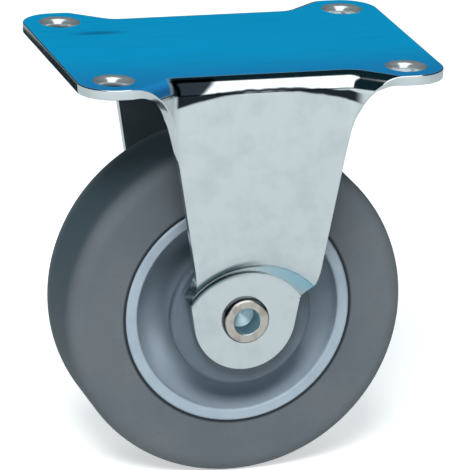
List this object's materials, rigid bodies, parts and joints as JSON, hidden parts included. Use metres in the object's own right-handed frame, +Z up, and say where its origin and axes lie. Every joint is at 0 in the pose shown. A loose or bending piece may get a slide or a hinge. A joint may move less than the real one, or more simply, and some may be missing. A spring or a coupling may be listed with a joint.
{
  "type": "fixed castor",
  "caption": "Fixed castor: pressed steel bracket with a bolt-on top plate, and a grey rubber tyre on a plastic core turning on a riveted axle.",
  "frame": {"origin": "centre of the top plate's upper face, which is the mounting face", "axes": "+Z up, out of the mounting face; X is the rolling direction along the plate's long side; Y runs along the wheel's axle"},
  "size_m": [0.1076, 0.082, 0.126],
  "materials": {
    "zinc_sheet": "satin",
    "rivet_steel": "satin",
    "bearing_steel": "satin",
    "core_plastic": "satin",
    "cap_plastic": "satin",
    "cage_plastic": "matte",
    "tyre_rubber": "matte"
  },
  "bodies": {
    "frame": {"bracket": "zinc_sheet", "axle_rivet": "rivet_steel", "axle_spacer": "bearing_steel", "side_washer_front": "bearing_steel", "side_washer_rear": "bearing_steel"},
    "wheel": {"wheel_core": "core_plastic", "tyre": "tyre_rubber", "dust_cap_front": "cap_plastic", "dust_cap_rear": "cap_plastic"},
    "cage": {"roller_cage": "cage_plastic"},
    "roller_01_body": {"roller_01": "bearing_steel"},
    "roller_02_body": {"roller_02": "bearing_steel"},
    "roller_03_body": {"roller_03": "bearing_steel"},
    "roller_04_body": {"roller_04": "bearing_steel"},
    "roller_05_body": {"roller_05": "bearing_steel"},
    "roller_06_body": {"roller_06": "bearing_steel"},
    "roller_07_body": {"roller_07": "bearing_steel"},
    "roller_08_body": {"roller_08": "bearing_steel"},
    "roller_09_body": {"roller_09": "bearing_steel"},
    "roller_10_body": {"roller_10": "bearing_steel"}
  },
  "joints": [
    {"name": "wheel_spin", "type": "hinge", "parent": "frame", "child": "wheel", "pos_m": [0, 0, -0.076], "axis": [0, 1, 0], "continuous": true},
    {"name": "cage_spin", "type": "hinge", "parent": "frame", "child": "cage", "pos_m": [0, 0, -0.076], "axis": [0, 1, 0], "continuous": true},
    {"name": "roller_01_spin", "type": "hinge", "parent": "cage", "child": "roller_01_body", "pos_m": [0.008, 0, -0.076], "axis": [0, 1, 0], "continuous": true},
    {"name": "roller_02_spin", "type": "hinge", "parent": "cage", "child": "roller_02_body", "pos_m": [0.00647, 0, -0.0807], "axis": [0, 1, 0], "continuous": true},
    {"name": "roller_03_spin", "type": "hinge", "parent": "cage", "child": "roller_03_body", "pos_m": [0.00247, 0, -0.08361], "axis": [0, 1, 0], "continuous": true},
    {"name": "roller_04_spin", "type": "hinge", "parent": "cage", "child": "roller_04_body", "pos_m": [-0.00247, 0, -0.08361], "axis": [0, 1, 0], "continuous": true},
    {"name": "roller_05_spin", "type": "hinge", "parent": "cage", "child": "roller_05_body", "pos_m": [-0.00647, 0, -0.0807], "axis": [0, 1, 0], "continuous": true},
    {"name": "roller_06_spin", "type": "hinge", "parent": "cage", "child": "roller_06_body", "pos_m": [-0.008, 0, -0.076], "axis": [0, 1, 0], "continuous": true},
    {"name": "roller_07_spin", "type": "hinge", "parent": "cage", "child": "roller_07_body", "pos_m": [-0.00647, 0, -0.0713], "axis": [0, 1, 0], "continuous": true},
    {"name": "roller_08_spin", "type": "hinge", "parent": "cage", "child": "roller_08_body", "pos_m": [-0.00247, 0, -0.06839], "axis": [0, 1, 0], "continuous": true},
    {"name": "roller_09_spin", "type": "hinge", "parent": "cage", "child": "roller_09_body", "pos_m": [0.00247, 0, -0.06839], "axis": [0, 1, 0], "continuous": true},
    {"name": "roller_10_spin", "type": "hinge", "parent": "cage", "child": "roller_10_body", "pos_m": [0.00647, 0, -0.0713], "axis": [0, 1, 0], "continuous": true}
  ],
  "couplings": [
    {"joint": "cage_spin", "follows": "wheel_spin", "ratio": 0.625},
    {"joint": "roller_01_spin", "follows": "wheel_spin", "ratio": 1.9231},
    {"joint": "roller_02_spin", "follows": "wheel_spin", "ratio": 1.9231},
    {"joint": "roller_03_spin", "follows": "wheel_spin", "ratio": 1.9231},
    {"joint": "roller_04_spin", "follows": "wheel_spin", "ratio": 1.9231},
    {"joint": "roller_05_spin", "follows": "wheel_spin", "ratio": 1.9231},
    {"joint": "roller_06_spin", "follows": "wheel_spin", "ratio": 1.9231},
    {"joint": "roller_07_spin", "follows": "wheel_spin", "ratio": 1.9231},
    {"joint": "roller_08_spin", "follows": "wheel_spin", "ratio": 1.9231},
    {"joint": "roller_09_spin", "follows": "wheel_spin", "ratio": 1.9231},
    {"joint": "roller_10_spin", "follows": "wheel_spin", "ratio": 1.9231}
  ]
}
